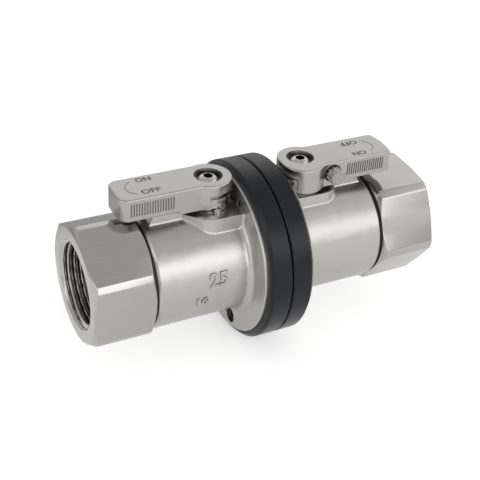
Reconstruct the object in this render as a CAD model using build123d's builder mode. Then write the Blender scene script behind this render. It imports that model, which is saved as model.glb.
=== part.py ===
from build123d import *
import os
from math import asin, atan2, cos, degrees, hypot, radians, sin, sqrt, tan

os.makedirs("parts", exist_ok=True)

# A full-flow quick coupling: two ball valve halves joined face to face by a bayonet.
# X is the flow axis, Z is up along the stems, and the origin is on the flow axis in the joint plane.
# The right half lies on +X. Each half has its own directions: outward, away from the joint plane;
# up; and across, which is +Y on the right half and -Y on the left. So each half is the other one
# turned half a turn about Z. All sizes are in millimetres.
halves = {"left": -1, "right": 1}

# Clearances
running_clearance = 0.05
free_clearance = 0.3
seated_gap = 0.02
screw_hole_gap = 0.2

# Straight runs in one turn of a spring's wire
coil_runs = 12

# Joint between the halves
joint_gap = 0.25
nose_gap = 0.1
ring_rim = 10.21
ring_wall = 2.8
ring_width = 8.55
ring_chamfer = 1.2
seam_chamfer = 0.4

# Flange of the valve body
flange_thickness = 4.6
flange_proud = 1.4
flange_fillet = 2.5
flange_edge = 0.3

# Ball, seats and barrel
bore_diameter = 25.0
ball_land = 5.3
seat_inset = 1.3
seat_bore_step = 0.2
seat_lip = 1.0
seat_width = 4.4
seat_pocket_depth = 3.4
cavity_gap = 0.5
barrel_wall = 2.8
barrel_reach = 27.6
barrel_chamfer = 0.8

# Boss for the stem, and the rail on top of the barrel
boss_front = 13.0
boss_back = 10.9
boss_taper_start = 4.9
boss_taper_end = 14.6
boss_end = 11.4
boss_front_corner = 7.0
boss_back_corner = 6.5
boss_rise = 1.6
boss_fillet = 1.2
rail_width = 10.0
rail_rise = 2.8
rail_start = 12.0
rail_setback = 1.9
rail_slope = 2.2

# End connector
spigot_wall = 1.1
seam_width = 1.0
hex_length = 23.3
hex_wall = 2.35
hex_corner_rise = 2.55
hex_face_rise = 0.05
hex_chamfer_angle = 30.0
hex_turn = {"left": 3.0, "right": 36.0}
thread_step = 2.645
thread_length = 19.0
mouth_flare = 2.105
connector_seal_thickness = 1.7

# Bayonet: sleeve and lugs on the right half, nose and L-shaped slots on the left
nose_step = 1.2
sleeve_wall = 2.54
lug_height = 2.9
lug_thickness = 2.0
lug_setback = 0.1
lug_angle = 40.0
lug_count = 3
twist_angle = 45.0
slot_margin = 2.0
stop_margin = 0.7
coupling_seal_thickness = 1.5

# Stem
stem_diameter = 10.0
stem_collar_diameter = 14.0
stem_collar_height = 1.2
stem_collar_lift = 0.2
thrust_washer_height = 0.6
tang_thickness = 5.0
tang_width = 12.0
tang_depth = 3.2
stem_square = 7.5
stem_setback = 0.5
stem_seal_thickness = 1.0
stem_seal_land = 0.4

# Interlock disc, from the boss up: stop flange, cam, top plate
disc_diameter = 17.4
stop_flange_diameter = 17.0
stop_flange_height = 1.1
cam_height = 2.9
disc_plate_height = 1.3
cam_rise = 1.5
cam_core_radius = 6.9
stop_pin_diameter = 2.8
stop_pin_radius = 8.6
stop_pin_depth = 4.0
stop_pin_chamfer = 0.28
stop_pin_place = 90.0
handle_swing = 90.0
lobe_margin = 2.0
cam_clearance = 0.1
cam_overrun = 12.0

# Handle
handle_height = 11.2
hub_radius = 8.8
hub_clearance = 0.3
hub_plate = 4.0
hub_boss_diameter = 13.8
skirt_wall = 0.9
skirt_open_from = 72.0
skirt_open_to = 239.5
grip_height = 8.5
grip_reach = 36.0
grip_root = 14.2
grip_side_plain = 7.0
grip_side_button = 8.4
grip_corner = {"left": 3.5, "right": 1.5}
grip_bow = {"left": 0.4, "right": 1.0}
grip_edge = 0.6
rib_count = 17
rib_pitch = 1.0
rib_width = 0.5
rib_depth = 0.35
rib_height = 5.0
rib_start = 16.5
grip_pocket_length = 17.0
grip_pocket_depth = 4.0
grip_wall = 2.6
latch_boss_radius = 8.6
latch_boss_shift = (-0.2, -2.6)
hub_blend = 3.5

# Handle screw
screw_recess_diameter = 10.6
screw_recess_depth = 3.5
screw_diameter = 5.0
screw_head_diameter = 8.0
screw_head_height = 2.75
screw_head_rim = 0.55
screw_head_shoulder = (3.3, 2.0)
screw_head_flat = 1.9
screw_socket = 3.4
screw_socket_depth = 2.0
screw_grip = 9.0
screw_washer_height = 0.5
screw_washer_diameter = 9.0

# Interlock pin
pin_diameter = 2.6
pin_across = 3.2
pin_tip_setback = 0.2
pin_collar_diameter = 4.4
pin_collar_width = 0.8
pin_collar_rest = 1.4
pin_spring_wire = 0.3
pin_spring_turns = 2

# Ring screws and dowels
ring_screw_across = 6.9
ring_screw_land = 2.5
ring_screw_diameter = 3.0
ring_screw_head_diameter = 5.5
ring_screw_head_height = 2.2
ring_screw_socket = 2.5
ring_screw_socket_depth = 1.2
ring_screw_recess_diameter = 6.5
ring_screw_recess_depth = 3.2
ring_screw_engagement = 3.7
dowel_diameter = 2.6
dowel_across = 8.0
dowel_recess = 1.2
dowel_engagement = 3.0

# Lock button in the right handle
button_place = 10.2
button_drop = 4.8
button_diameter = 6.5
button_hole_diameter = 7.2
button_proud = 4.2
button_travel = 3.0
button_edge = 0.35
button_sink = 5.4
button_spring_room = 4.4
button_guide_depth = 9.0
button_stem_length = 10.0
button_stem_diameter = 3.0
button_flutes = 12
button_flute_depth = 0.25
button_spring_wire = 0.5
button_spring_turns = 4
retaining_pin_diameter = 1.5
retaining_flat_depth = 0.8
retaining_pin_across = 0.8
retaining_pin_length = 5.5

# Widths that follow from the bore: ball, cavity, spigot, barrel and hexagon from the inside out
ball_diameter = bore_diameter + 2 * ball_land
seat_diameter = ball_diameter - 2 * seat_inset
cavity_diameter = ball_diameter + 2 * cavity_gap
spigot_diameter = cavity_diameter + 2 * spigot_wall
barrel_diameter = spigot_diameter + 2 * barrel_wall
hex_across_flats = spigot_diameter + 2 * hex_wall
hex_corner_diameter = hex_across_flats + 2 * hex_corner_rise
hex_face_diameter = hex_across_flats + 2 * hex_face_rise
thread_minor_diameter = bore_diameter + 2 * thread_step
mouth_diameter = thread_minor_diameter + 2 * mouth_flare

# Widths of the joint: nose, sleeve, lugs, slots, flange and ring
nose_diameter = ball_diameter + 2 * nose_step
sleeve_bore_radius = nose_diameter / 2 + running_clearance
sleeve_radius = sleeve_bore_radius + sleeve_wall
lug_radius = sleeve_radius + lug_height
slot_radius = lug_radius + free_clearance
ring_diameter = 2 * (slot_radius + ring_rim)
flange_diameter = ring_diameter - 2 * ring_wall

# Places that follow from the sizes, measured outward from the joint plane
ring_rear = joint_gap + ring_width
flange_rear = ring_rear + flange_proud
flange_front = flange_rear - flange_thickness
stem_distance = flange_rear + hub_clearance + hub_radius
ball_radius = ball_diameter / 2
seat_bore_radius = bore_diameter / 2 + seat_bore_step
seat_back = sqrt(ball_radius**2 - seat_bore_radius**2) + seat_lip
seat_pocket_radius = seat_diameter / 2 + running_clearance
inner_shoulder = stem_distance - seat_back
outer_shoulder = stem_distance + seat_back
spigot_end = outer_shoulder - seat_pocket_depth
spigot_bore_radius = spigot_diameter / 2 + running_clearance
barrel_end = stem_distance + barrel_reach
hex_rear = barrel_end + seam_width
connector_end = hex_rear + hex_length
sleeve_length = flange_front - free_clearance + lug_setback

# Heights that follow from the sizes
collar_bottom = ball_radius + stem_collar_lift
collar_top = collar_bottom + stem_collar_height
washer_top = collar_top + thrust_washer_height
boss_height = barrel_diameter / 2 + boss_rise
disc_bottom = boss_height + free_clearance
cam_bottom = disc_bottom + stop_flange_height
pin_height = cam_bottom + cam_height / 2
disc_plate_bottom = cam_bottom + cam_height
disc_top = disc_plate_bottom + disc_plate_height
handle_top = boss_height + handle_height
grip_bottom = handle_top - grip_height
plate_bottom = handle_top - hub_plate
button_level = handle_top - button_drop
recess_floor = handle_top - screw_recess_depth
stem_top = recess_floor - stem_setback
screw_end = recess_floor + screw_washer_height - screw_grip

# Seals: the connector seals fill the seams, the coupling seal its groove round the nose
connector_seal_distance = hex_rear - connector_seal_thickness / 2 - seated_gap
connector_seal_radius = (spigot_diameter + connector_seal_thickness) / 2 + seated_gap
seal_pocket_floor = connector_seal_distance - connector_seal_thickness / 2 - seated_gap
seal_pocket_radius = connector_seal_radius + connector_seal_thickness / 2 + seated_gap
coupling_seal_distance = (nose_gap + flange_front) / 2
coupling_seal_radius = (nose_diameter - coupling_seal_thickness) / 2 + seated_gap

# Interlock pin: the centre of its round tail, inward from the stem, just clear of the cam's high end
cam_pitch_radius = disc_diameter / 2 + pin_diameter / 2 + cam_clearance
pin_tail_centre = sqrt(cam_pitch_radius**2 - pin_across**2) - cam_rise * cam_overrun / handle_swing
pin_pocket_depth = pin_collar_rest + pin_collar_width + cam_rise + 2 * running_clearance
ring_screw_drop = sqrt((slot_radius + ring_screw_land)**2 - ring_screw_across**2)
ring_screw_places = [(ring_screw_across, -ring_screw_drop), (-ring_screw_across, -ring_screw_drop)]
dowel_height = boss_height + free_clearance + dowel_diameter / 2
dowel_places = [(dowel_across, dowel_height), (-dowel_across, dowel_height)]

# Lock button, measured from the stem axis towards the button's side of the handle
button_face = grip_side_button + button_proud
button_floor = grip_side_button - button_sink
button_head_inner = button_floor + button_spring_room
retaining_flat = button_stem_diameter / 2 - retaining_flat_depth
retaining_pin_place = button_place + retaining_flat + running_clearance + retaining_pin_diameter / 2


def section_plane(side):
    """Plane of a half's lengthwise section: local x runs outward, local y up."""
    return Plane(origin=(0, 0, 0), x_dir=(side, 0, 0), z_dir=(0, -side, 0))


def cross_plane(side, distance):
    """Plane across the flow axis: local x runs across, local y up, and it faces outward."""
    return Plane(origin=(side * distance, 0, 0), x_dir=(0, side, 0), z_dir=(side, 0, 0))


def plan_plane(side, height):
    """Level plane centred on a half's stem axis: local x runs outward, local y across."""
    return Plane(origin=(side * stem_distance, 0, height), x_dir=(side, 0, 0), z_dir=(0, 0, 1))


def stem_section_plane(side, across=0):
    """Upright plane along a half, centred on its stem axis: local x runs outward, local y up."""
    return Plane(origin=(side * stem_distance, side * across, 0), x_dir=(side, 0, 0), z_dir=(0, -side, 0))


def stem_axis(side):
    """The stem's own axis."""
    return Axis((side * stem_distance, 0, 0), (0, 0, 1))


def polar(radius, angle):
    """Point of a plan or cross sketch at a radius and an angle in degrees."""
    return (radius * cos(radians(angle)), radius * sin(radians(angle)))


def sector(inner, outer, start, end):
    """Sketch face of a ring sector between two radii and two angles."""
    middle = (start + end) / 2
    with BuildSketch(mode=Mode.PRIVATE) as shape:
        with BuildLine():
            ThreePointArc(polar(outer, start), polar(outer, middle), polar(outer, end))
            Line(polar(outer, end), polar(inner, end))
            ThreePointArc(polar(inner, end), polar(inner, middle), polar(inner, start))
            Line(polar(inner, start), polar(outer, start))
        make_face()
    return shape.sketch


def lug_place(lug):
    """Angle of a bayonet lug's middle, from +Y towards +Z about the flow axis."""
    return 90 + lug * 360 / lug_count


def square_shank(gap):
    """Sketch face of the stem's square with its corners turned off, grown by a gap."""
    with BuildSketch(mode=Mode.PRIVATE) as shape:
        Rectangle(stem_square + 2 * gap, stem_square + 2 * gap)
        Circle(stem_diameter / 2 + gap, mode=Mode.INTERSECT)
    return shape.sketch


def cam_point(swing):
    """Point of the cam that faces the interlock pin's round tail when the handle has swung so far."""
    tail = pin_tail_centre - cam_rise * swing / handle_swing
    angle = 180 + degrees(atan2(pin_across, tail)) - swing
    return polar(hypot(tail, pin_across) - pin_diameter / 2 - cam_clearance, angle)


def coil_spring(seat, radius, room, wire, turns):
    """Coil spring that fills the room in front of a seat plane, its wire bent in short straight runs."""
    lift = wire / 2 + seated_gap
    runs = turns * coil_runs
    with BuildPart() as spring:
        with BuildLine(seat):
            coil = Polyline(*[
                (*polar(radius, 360 * run / coil_runs), lift + (room - 2 * lift) * run / runs)
                for run in range(runs + 1)
            ])
        with BuildSketch(Plane(origin=coil @ 0, z_dir=coil % 0)):
            RegularPolygon(wire / 2, 6)
        sweep(path=coil.wire(), transition=Transition.RIGHT)
    return spring.part


def at_foot(edge):
    """True for an edge along which the boss or the rail stands on the barrel."""
    points = (edge @ 0, edge @ 0.5, edge @ 1)
    on_barrel = all(abs(hypot(point.Y, point.Z) - barrel_diameter / 2) < seated_gap for point in points)
    return on_barrel and abs(points[1].X) < barrel_end - rail_setback and points[1].Z > 0


# Valve bodies: one casting each, with barrel, flange, stem boss and rail in one piece. The left one
# ends in the nose, the right one in the sleeve with the bayonet lugs.
for half, side in halves.items():
    barrel_radius = barrel_diameter / 2
    front_radius = nose_diameter / 2 if half == "left" else sleeve_radius

    # Boss: flat flanks into the flange, a taper down to the rail on one side, a round corner on the other
    boss_run = stem_distance - (flange_front + flange_rear) / 2
    with BuildPart() as boss:
        with BuildSketch(plan_plane(side, 0)) as outline:
            with BuildLine():
                Polyline(
                    (-boss_run, -boss_back),
                    (boss_end, -boss_back),
                    (boss_taper_end, rail_width / 4),
                    (boss_taper_start, boss_front),
                    (-boss_run, boss_front),
                    close=True,
                )
            make_face()
            towards_rail = outline.vertices().filter_by_position(Axis.X, 0, boss_end)
            fillet(towards_rail.sort_by(Axis.Y)[-1], boss_front_corner)
            fillet(outline.vertices().group_by(Axis.Y)[0].sort_by(Axis.X)[-1], boss_back_corner)
        extrude(amount=boss_height)

        # Rail behind the boss, a step higher, sloping down to the barrel at its outer end
        rail_end = barrel_end - rail_setback
        with BuildSketch(section_plane(side)):
            with BuildLine():
                Polyline(
                    (stem_distance + rail_start, barrel_radius - rail_slope),
                    (stem_distance + rail_start, barrel_radius + rail_rise),
                    (rail_end - rail_slope, barrel_radius + rail_rise),
                    (rail_end, barrel_radius - rail_slope),
                    close=True,
                )
            make_face()
        extrude(amount=rail_width / 2, both=True)

    with BuildPart() as valve_body:
        with BuildSketch(section_plane(side)):
            with BuildLine():
                fillet_start = (flange_rear, barrel_radius + flange_fillet)
                fillet_end = (flange_rear + flange_fillet, barrel_radius)
                Polyline(
                    (nose_gap, 0),
                    (nose_gap, front_radius),
                    (flange_front, front_radius),
                    (flange_front, flange_diameter / 2),
                    (flange_rear - flange_edge, flange_diameter / 2),
                    (flange_rear, flange_diameter / 2 - flange_edge),
                    fillet_start,
                )
                fillet_bend = flange_fillet * (1 - sqrt(0.5))
                fillet_middle = (flange_rear + fillet_bend, barrel_radius + fillet_bend)
                ThreePointArc(fillet_start, fillet_middle, fillet_end)
                Polyline(
                    fillet_end,
                    (barrel_end - barrel_chamfer, barrel_radius),
                    (barrel_end, barrel_radius - barrel_chamfer),
                    (barrel_end, 0),
                    (nose_gap, 0),
                )
            make_face()
        revolve(axis=Axis.X)

        add(boss.part)
        fillet(valve_body.edges().filter_by(at_foot), boss_fillet)

        if half == "right":
            with BuildSketch(section_plane(side)):
                with BuildLine():
                    Polyline(
                        (-sleeve_length, sleeve_bore_radius),
                        (-sleeve_length, sleeve_radius),
                        (flange_front, sleeve_radius),
                        (flange_front, sleeve_bore_radius),
                        close=True,
                    )
                make_face()
            revolve(axis=Axis.X)
            with BuildSketch(cross_plane(side, lug_setback - sleeve_length)):
                for lug in range(lug_count):
                    start = lug_place(lug) - lug_angle / 2
                    add(sector(sleeve_bore_radius, lug_radius, start, start + lug_angle))
            extrude(amount=lug_thickness)

        # Flow passage, seat pocket, ball cavity, connector bore and seal pocket
        cavity_start = inner_shoulder + seat_pocket_depth
        with BuildSketch(section_plane(side)):
            with BuildLine():
                Polyline(
                    (-sleeve_length, 0),
                    (-sleeve_length, bore_diameter / 2),
                    (inner_shoulder, bore_diameter / 2),
                    (inner_shoulder, seat_pocket_radius),
                    (cavity_start, seat_pocket_radius),
                    (cavity_start + cavity_diameter / 2 - seat_pocket_radius, cavity_diameter / 2),
                    (spigot_end, cavity_diameter / 2),
                    (spigot_end, spigot_bore_radius),
                    (seal_pocket_floor, spigot_bore_radius),
                    (seal_pocket_floor, seal_pocket_radius),
                    (hex_rear, seal_pocket_radius),
                    (hex_rear, 0),
                    close=True,
                )
            make_face()
        revolve(axis=Axis.X, mode=Mode.SUBTRACT)

        # Stem bore with the pocket for the collar and thrust washer, and the hole for the stop pin
        with BuildSketch(plan_plane(side, bore_diameter / 2)):
            Circle(stem_diameter / 2 + running_clearance)
        extrude(amount=boss_height, mode=Mode.SUBTRACT)
        with BuildSketch(plan_plane(side, washer_top + seated_gap)):
            Circle(stem_collar_diameter / 2 + running_clearance)
        extrude(amount=-stem_collar_diameter / 2, mode=Mode.SUBTRACT)
        with BuildSketch(plan_plane(side, boss_height)):
            with Locations(polar(stop_pin_radius, stop_pin_place)):
                Circle(stop_pin_diameter / 2 + seated_gap)
        extrude(amount=-stop_pin_depth, mode=Mode.SUBTRACT)

        # Interlock pin hole and the pocket for its collar and spring
        with BuildSketch(cross_plane(side, flange_front)):
            with Locations((-pin_across, pin_height)):
                Circle(pin_diameter / 2 + running_clearance)
        extrude(amount=flange_thickness + free_clearance, mode=Mode.SUBTRACT)
        with BuildSketch(cross_plane(side, flange_front)):
            with Locations((-pin_across, pin_height)):
                Circle(pin_collar_diameter / 2 + running_clearance)
        extrude(amount=pin_pocket_depth, mode=Mode.SUBTRACT)

        # Counterbored holes for the ring screws, and the dowel holes
        with BuildSketch(cross_plane(side, flange_front)):
            with Locations(*ring_screw_places):
                Circle(ring_screw_diameter / 2 + screw_hole_gap)
            with Locations(*dowel_places):
                Circle(dowel_diameter / 2 + seated_gap)
        extrude(amount=flange_thickness + flange_fillet, mode=Mode.SUBTRACT)
        with BuildSketch(cross_plane(side, flange_rear - ring_screw_recess_depth)):
            with Locations(*ring_screw_places):
                Circle(ring_screw_recess_diameter / 2)
        extrude(amount=ring_screw_recess_depth + flange_fillet, mode=Mode.SUBTRACT)

        if half == "left":
            with BuildSketch(section_plane(side)):
                with Locations((coupling_seal_distance, nose_diameter / 2)):
                    Rectangle(coupling_seal_thickness + 2 * running_clearance, 2 * coupling_seal_thickness)
            revolve(axis=Axis.X, mode=Mode.SUBTRACT)
    valve_body.part.label = f"{half}_valve_body"
    export_step(valve_body.part, f"parts/{half}_valve_body.step")


# Clamp rings: black turned rings that cap the flanges. The web of the left one holds the L-shaped
# bayonet slots, the web of the right one closes on the sleeve.
for half, side in halves.items():
    web_radius = sleeve_radius + (free_clearance if half == "left" else seated_gap)
    cup_radius = flange_diameter / 2 + running_clearance
    with BuildPart() as clamp_ring:
        with BuildSketch(section_plane(side)):
            with BuildLine():
                Polyline(
                    (joint_gap, web_radius),
                    (joint_gap, ring_diameter / 2 - seam_chamfer),
                    (joint_gap + seam_chamfer, ring_diameter / 2),
                    (ring_rear - ring_chamfer, ring_diameter / 2),
                    (ring_rear, ring_diameter / 2 - ring_chamfer),
                    (ring_rear, cup_radius),
                    (flange_front, cup_radius),
                    (flange_front, web_radius),
                    close=True,
                )
            make_face()
        revolve(axis=Axis.X)

        # Own pin hole, the opposite half's pin hole, tapped screw holes and dowel holes
        with BuildSketch(cross_plane(side, joint_gap)):
            with Locations((-pin_across, pin_height), (pin_across, pin_height)):
                Circle(pin_diameter / 2 + running_clearance)
        extrude(amount=flange_front - joint_gap, mode=Mode.SUBTRACT)
        with BuildSketch(cross_plane(side, flange_front)):
            with Locations(*ring_screw_places):
                Circle(ring_screw_diameter / 2 + seated_gap)
        extrude(amount=-ring_screw_engagement - free_clearance, mode=Mode.SUBTRACT)
        with BuildSketch(cross_plane(side, flange_front)):
            with Locations(*dowel_places):
                Circle(dowel_diameter / 2 + seated_gap)
        extrude(amount=-dowel_engagement - free_clearance, mode=Mode.SUBTRACT)

        if half == "left":
            # Each slot: a pocket behind the lip for the lug's turn, open through the lip at its far end
            slot_front = sleeve_length - lug_setback - lug_thickness - free_clearance
            for lug in range(lug_count):
                near = lug_place(lug) - lug_angle / 2 - stop_margin
                far = lug_place(lug) + twist_angle + lug_angle / 2 + stop_margin
                entry = lug_place(lug) + twist_angle - lug_angle / 2 - slot_margin
                with BuildSketch(cross_plane(1, -flange_front)):
                    add(sector(nose_diameter / 2, slot_radius, near, far))
                extrude(amount=flange_front - slot_front, mode=Mode.SUBTRACT)
                with BuildSketch(cross_plane(1, -flange_front)):
                    add(sector(nose_diameter / 2, slot_radius, entry, far))
                extrude(amount=flange_front, mode=Mode.SUBTRACT)
    clamp_ring.part.label = f"{half}_clamp_ring"
    export_step(clamp_ring.part, f"parts/{half}_clamp_ring.step")


# Ring screws: two cap screws a ring, put in from the counterbores in the flange.
for half, side in halves.items():
    head_seat = flange_rear - ring_screw_recess_depth
    with BuildPart() as ring_screws:
        with BuildSketch(cross_plane(side, head_seat)):
            with Locations(*ring_screw_places):
                Circle(ring_screw_head_diameter / 2)
        extrude(amount=ring_screw_head_height)
        with BuildSketch(cross_plane(side, head_seat)):
            with Locations(*ring_screw_places):
                Circle(ring_screw_diameter / 2)
        extrude(amount=flange_front - ring_screw_engagement - head_seat)
        with BuildSketch(cross_plane(side, head_seat + ring_screw_head_height)):
            with Locations(*ring_screw_places):
                RegularPolygon(ring_screw_socket / 2, 6, major_radius=False)
        extrude(amount=-ring_screw_socket_depth, mode=Mode.SUBTRACT)
    ring_screws.part.label = f"{half}_ring_screws"
    export_step(ring_screws.part, f"parts/{half}_ring_screws.step")


# Ring dowels: two plain pins a ring, above the boss, where a screw head has no room.
for half, side in halves.items():
    with BuildPart() as ring_dowels:
        with BuildSketch(cross_plane(side, flange_front - dowel_engagement)):
            with Locations(*dowel_places):
                Circle(dowel_diameter / 2)
        extrude(amount=dowel_engagement + flange_thickness - dowel_recess)
    ring_dowels.part.label = f"{half}_ring_dowels"
    export_step(ring_dowels.part, f"parts/{half}_ring_dowels.step")


# End connectors: machined hexagon bars with the pipe thread's bore, screwed into the barrel by a
# spigot whose end carries the outer seat.
for half, side in halves.items():
    face_radius = hex_face_diameter / 2
    corner_radius = hex_corner_diameter / 2
    chamfer_run = (corner_radius - face_radius) * tan(radians(hex_chamfer_angle))
    thread_radius = thread_minor_diameter / 2
    mouth_radius = mouth_diameter / 2
    thread_end = connector_end - thread_length
    with BuildPart() as end_connector:
        with BuildSketch(cross_plane(side, hex_rear)):
            RegularPolygon(hex_across_flats / 2, 6, major_radius=False, rotation=90 + side * hex_turn[half])
        extrude(amount=hex_length)
        with BuildSketch(section_plane(side)):
            with BuildLine():
                Polyline(
                    (hex_rear, 0),
                    (hex_rear, face_radius),
                    (hex_rear + chamfer_run, corner_radius),
                    (connector_end - chamfer_run, corner_radius),
                    (connector_end, face_radius),
                    (connector_end, 0),
                    close=True,
                )
            make_face()
        revolve(axis=Axis.X, mode=Mode.INTERSECT)
        with BuildSketch(section_plane(side)):
            with Locations(((spigot_end + hex_rear + chamfer_run) / 2, spigot_diameter / 4)):
                Rectangle(hex_rear + chamfer_run - spigot_end, spigot_diameter / 2)
        revolve(axis=Axis.X)
        with BuildSketch(section_plane(side)):
            with BuildLine():
                Polyline(
                    (spigot_end, 0),
                    (spigot_end, seat_pocket_radius),
                    (outer_shoulder, seat_pocket_radius),
                    (outer_shoulder, bore_diameter / 2),
                    (thread_end - thread_radius + bore_diameter / 2, bore_diameter / 2),
                    (thread_end, thread_radius),
                    (connector_end - mouth_radius + thread_radius, thread_radius),
                    (connector_end, mouth_radius),
                    (connector_end, 0),
                    close=True,
                )
            make_face()
        revolve(axis=Axis.X, mode=Mode.SUBTRACT)
    end_connector.part.label = f"{half}_end_connector"
    export_step(end_connector.part, f"parts/{half}_end_connector.step")


# Seals: a square-section ring fills each seam between barrel and hexagon, and another sits on the nose.
for half, side in halves.items():
    with BuildPart() as connector_seal:
        with BuildSketch(section_plane(side)):
            with Locations((connector_seal_distance, connector_seal_radius)):
                Rectangle(connector_seal_thickness, connector_seal_thickness)
        revolve(axis=Axis.X)
    connector_seal.part.label = f"{half}_connector_seal"
    export_step(connector_seal.part, f"parts/{half}_connector_seal.step")

with BuildPart() as coupling_seal:
    with BuildSketch(section_plane(halves["left"])):
        with Locations((coupling_seal_distance, coupling_seal_radius)):
            Rectangle(coupling_seal_thickness, coupling_seal_thickness)
    revolve(axis=Axis.X)
coupling_seal.part.label = "coupling_seal"
export_step(coupling_seal.part, "parts/coupling_seal.step")


# Seats: turned rings with a hollow spherical face, one on each side of the ball.
for half, side in halves.items():
    for place, facing in {"inner": -1, "outer": 1}.items():
        face_radius = ball_radius + running_clearance
        seat_front = seat_back - seat_width
        bore_angle = asin(seat_bore_radius / face_radius)
        rim_angle = asin(sqrt(face_radius**2 - seat_front**2) / face_radius)
        middle_angle = (bore_angle + rim_angle) / 2
        bore_point, middle_point, rim_point = (
            (stem_distance + facing * face_radius * cos(angle), face_radius * sin(angle))
            for angle in (bore_angle, middle_angle, rim_angle)
        )
        with BuildPart() as seat:
            with BuildSketch(section_plane(side)):
                with BuildLine():
                    ThreePointArc(bore_point, middle_point, rim_point)
                    Polyline(
                        rim_point,
                        (stem_distance + facing * seat_front, seat_diameter / 2),
                        (stem_distance + facing * seat_back, seat_diameter / 2),
                        (stem_distance + facing * seat_back, seat_bore_radius),
                        bore_point,
                    )
                make_face()
            revolve(axis=Axis.X)
        seat.part.label = f"{half}_{place}_seat"
        export_step(seat.part, f"parts/{half}_{place}_seat.step")


# Balls: polished, with the bore in line with the flow when open, and a slot for the stem's tang.
for half, side in halves.items():
    slot_floor = collar_bottom - tang_depth - running_clearance
    with BuildPart() as ball:
        with Locations((side * stem_distance, 0, 0)):
            Sphere(ball_radius)
        with BuildSketch(cross_plane(side, stem_distance - ball_radius)):
            Circle(bore_diameter / 2)
        extrude(amount=ball_diameter, mode=Mode.SUBTRACT)
        with BuildSketch(plan_plane(side, slot_floor)):
            Rectangle(tang_thickness + 2 * running_clearance, ball_diameter)
        extrude(amount=ball_radius, mode=Mode.SUBTRACT)
    ball.part.label = f"{half}_ball"
    export_step(ball.part, f"parts/{half}_ball.step")


# Stems: tang, collar, shaft with two seal grooves, and a square for the disc and the handle.
seal_groove_width = stem_seal_thickness + 2 * running_clearance
seal_groove_places = [
    washer_top + stem_seal_land + groove * (seal_groove_width + stem_seal_land) for groove in range(2)
]
for half, side in halves.items():
    with BuildPart() as stem:
        with BuildSketch(plan_plane(side, collar_bottom - tang_depth)):
            Rectangle(tang_thickness, tang_width)
        extrude(amount=tang_depth)
        with BuildSketch(plan_plane(side, collar_bottom)):
            Circle(stem_collar_diameter / 2)
        extrude(amount=stem_collar_height)
        with BuildSketch(plan_plane(side, collar_top)):
            Circle(stem_diameter / 2)
        extrude(amount=disc_bottom - collar_top)
        with BuildSketch(plan_plane(side, disc_bottom)):
            add(square_shank(0))
        extrude(amount=stem_top - disc_bottom)
        for groove in seal_groove_places:
            with BuildSketch(plan_plane(side, groove)):
                Circle(stem_diameter / 2 + running_clearance)
                Circle(stem_diameter / 2 - stem_seal_thickness, mode=Mode.SUBTRACT)
            extrude(amount=seal_groove_width, mode=Mode.SUBTRACT)
        with BuildSketch(plan_plane(side, stem_top)):
            Circle(screw_diameter / 2 + seated_gap)
        extrude(amount=screw_end - free_clearance - stem_top, mode=Mode.SUBTRACT)
    stem.part.label = f"{half}_stem"
    export_step(stem.part, f"parts/{half}_stem.step")


# Thrust washer above the stem's collar, and the two seals in the stem's grooves.
for half, side in halves.items():
    with BuildPart() as thrust_washer:
        with BuildSketch(plan_plane(side, collar_top)):
            Circle(stem_collar_diameter / 2)
            Circle(stem_diameter / 2 + running_clearance, mode=Mode.SUBTRACT)
        extrude(amount=thrust_washer_height)
    thrust_washer.part.label = f"{half}_thrust_washer"
    export_step(thrust_washer.part, f"parts/{half}_thrust_washer.step")

    with BuildPart() as stem_seals:
        with BuildSketch(stem_section_plane(side)):
            for groove in seal_groove_places:
                seal_centre = (stem_diameter - stem_seal_thickness) / 2 + seated_gap
                with Locations((seal_centre, groove + seal_groove_width / 2)):
                    Rectangle(stem_seal_thickness - seated_gap, stem_seal_thickness)
        revolve(axis=stem_axis(side))
    stem_seals.part.label = f"{half}_stem_seals"
    export_step(stem_seals.part, f"parts/{half}_stem_seals.step")


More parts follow.
